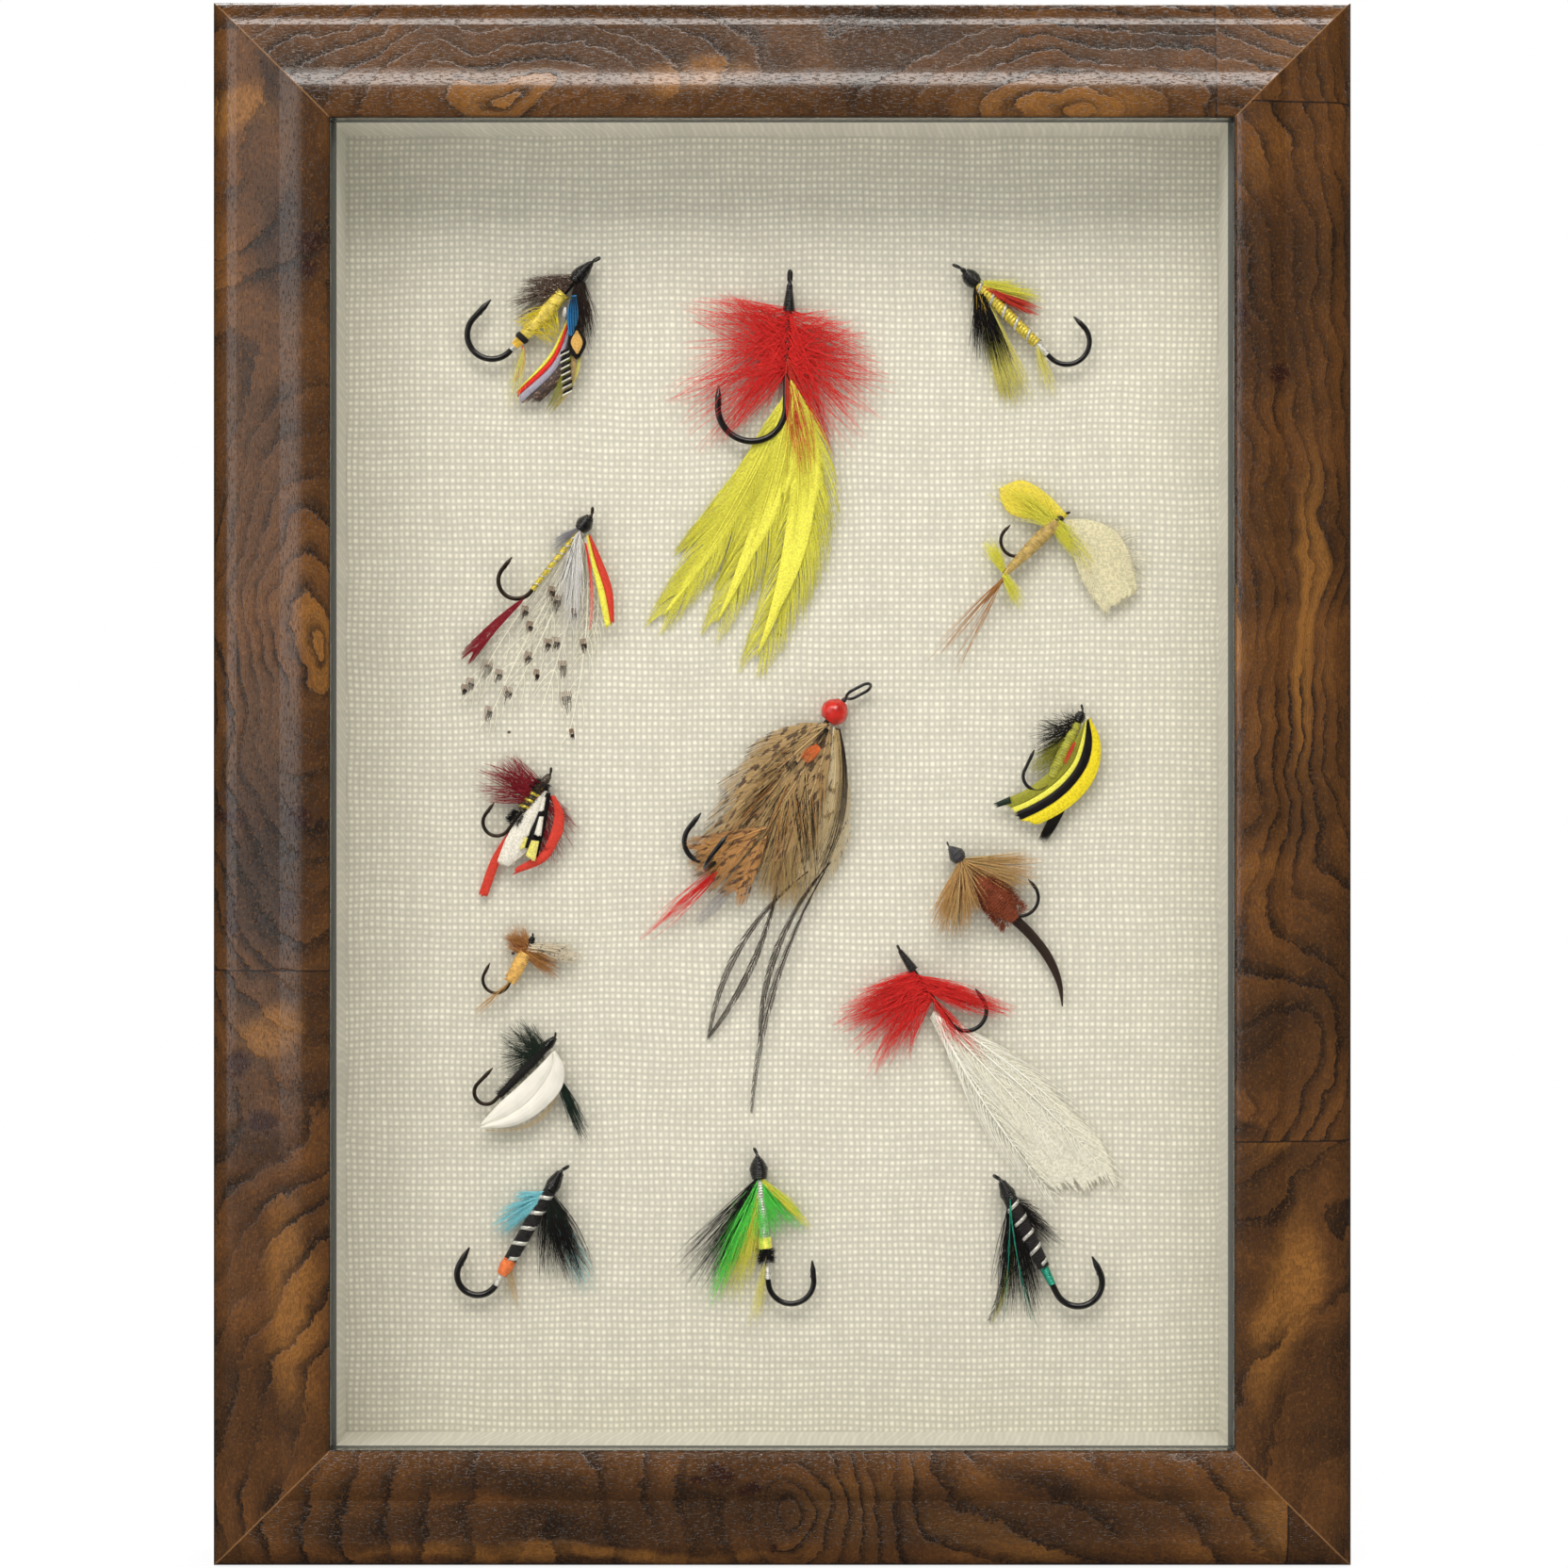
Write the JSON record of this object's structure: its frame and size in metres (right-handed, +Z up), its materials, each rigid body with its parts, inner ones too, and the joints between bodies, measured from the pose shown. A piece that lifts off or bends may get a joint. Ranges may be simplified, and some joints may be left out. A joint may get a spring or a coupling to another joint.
{
  "type": "framed fishing fly display",
  "caption": "Glazed shadow-box frame in glossy veneered wood, lined with linen, with dressed fishing flies mounted on the linen; hangs by rings on its back.",
  "frame": {"origin": "middle of the flat bottom face of the frame, where it rests", "axes": "+Z up, -Y towards the viewer, out of the glass; +X to the viewer's right"},
  "size_m": [0.2558, 0.0407, 0.3514],
  "materials": {
    "veneered_wood": "glossy varnished walnut-brown figured veneer",
    "picture_glass": "clear",
    "linen": "natural cream plain weave",
    "mount_board": "matt",
    "backing_board": "hardboard",
    "steel": "zinc plated",
    "brass_plate": "brass plated",
    "felt": "black felt",
    "hook_wire": "black japanned or bronzed",
    "feather_and_silk": "dyed feather, hair, silk and tinsel"
  },
  "bodies": {
    "root": {"backing_board": "backing_board", "barred_salmon_fly_dressing": "feather_and_silk", "barred_salmon_fly_hook": "hook_wire", "black_and_silver_fly_dressing": "feather_and_silk", "black_and_silver_fly_hook": "hook_wire", "black_hackle_fly_dressing": "feather_and_silk", "black_hackle_fly_hook": "hook_wire", "bottom_liner": "linen", "bottom_rail": "veneered_wood", "brown_hair_fly_dressing": "feather_and_silk", "brown_hair_fly_hook": "hook_wire", "bumper_pads": "felt", "corner_v_nails": "steel", "crimson_hackle_fly_dressing": "feather_and_silk", "crimson_hackle_fly_hook": "hook_wire", "curved_wing_fly_dressing": "feather_and_silk", "curved_wing_fly_hook": "hook_wire", "fan_wing_fly_dressing": "feather_and_silk", "fan_wing_fly_hook": "hook_wire", "gilt_hair_fly_dressing": "feather_and_silk", "gilt_hair_fly_hook": "hook_wire", "glazing": "picture_glass", "green_hackle_fly_dressing": "feather_and_silk", "green_hackle_fly_hook": "hook_wire", "hanger_screws": "steel", "large_brown_lure_dressing": "feather_and_silk", "large_brown_lure_hook": "hook_wire", "left_hanger_plate": "brass_plate", "left_liner": "linen", "left_rail": "veneered_wood", "linen_panel": "linen", "mount_board": "mount_board", "red_and_white_streamer_dressing": "feather_and_silk", "red_and_white_streamer_hook": "hook_wire", "red_and_yellow_streamer_dressing": "feather_and_silk", "red_and_yellow_streamer_hook": "hook_wire", "right_hanger_plate": "brass_plate", "right_liner": "linen", "right_rail": "veneered_wood", "small_orange_dry_fly_dressing": "feather_and_silk", "small_orange_dry_fly_hook": "hook_wire", "top_liner": "linen", "top_rail": "veneered_wood", "turn_button_screws": "steel", "white_winged_fly_dressing": "feather_and_silk", "white_winged_fly_hook": "hook_wire", "yellow_mayfly_dressing": "feather_and_silk", "yellow_mayfly_hook": "hook_wire"},
    "top_turn_button": {"top_turn_button": "brass_plate"},
    "bottom_turn_button": {"bottom_turn_button": "brass_plate"},
    "left_turn_button": {"left_turn_button": "brass_plate"},
    "right_turn_button": {"right_turn_button": "brass_plate"},
    "left_hanger_ring": {"left_hanger_ring": "steel"},
    "right_hanger_ring": {"right_hanger_ring": "steel"}
  },
  "joints": [
    {"name": "top_button_turn", "type": "hinge", "parent": "root", "child": "top_turn_button", "pos_m": [0, 0.01385, 0.3359], "axis": [0, 1, 0], "continuous": true},
    {"name": "bottom_button_turn", "type": "hinge", "parent": "root", "child": "bottom_turn_button", "pos_m": [0, 0.01385, 0.0155], "axis": [0, 1, 0], "continuous": true},
    {"name": "left_button_turn", "type": "hinge", "parent": "root", "child": "left_turn_button", "pos_m": [-0.1124, 0.01385, 0.1757], "axis": [0, 1, 0], "continuous": true},
    {"name": "right_button_turn", "type": "hinge", "parent": "root", "child": "right_turn_button", "pos_m": [0.1124, 0.01385, 0.1757], "axis": [0, 1, 0], "continuous": true},
    {"name": "left_ring_swing", "type": "hinge", "parent": "root", "child": "left_hanger_ring", "pos_m": [-0.1091, 0.0153, 0.2634], "axis": [0, 0, 1], "range_deg": [0, 150]},
    {"name": "right_ring_swing", "type": "hinge", "parent": "root", "child": "right_hanger_ring", "pos_m": [0.1091, 0.0153, 0.2634], "axis": [0, 0, -1], "range_deg": [0, 150]}
  ]
}
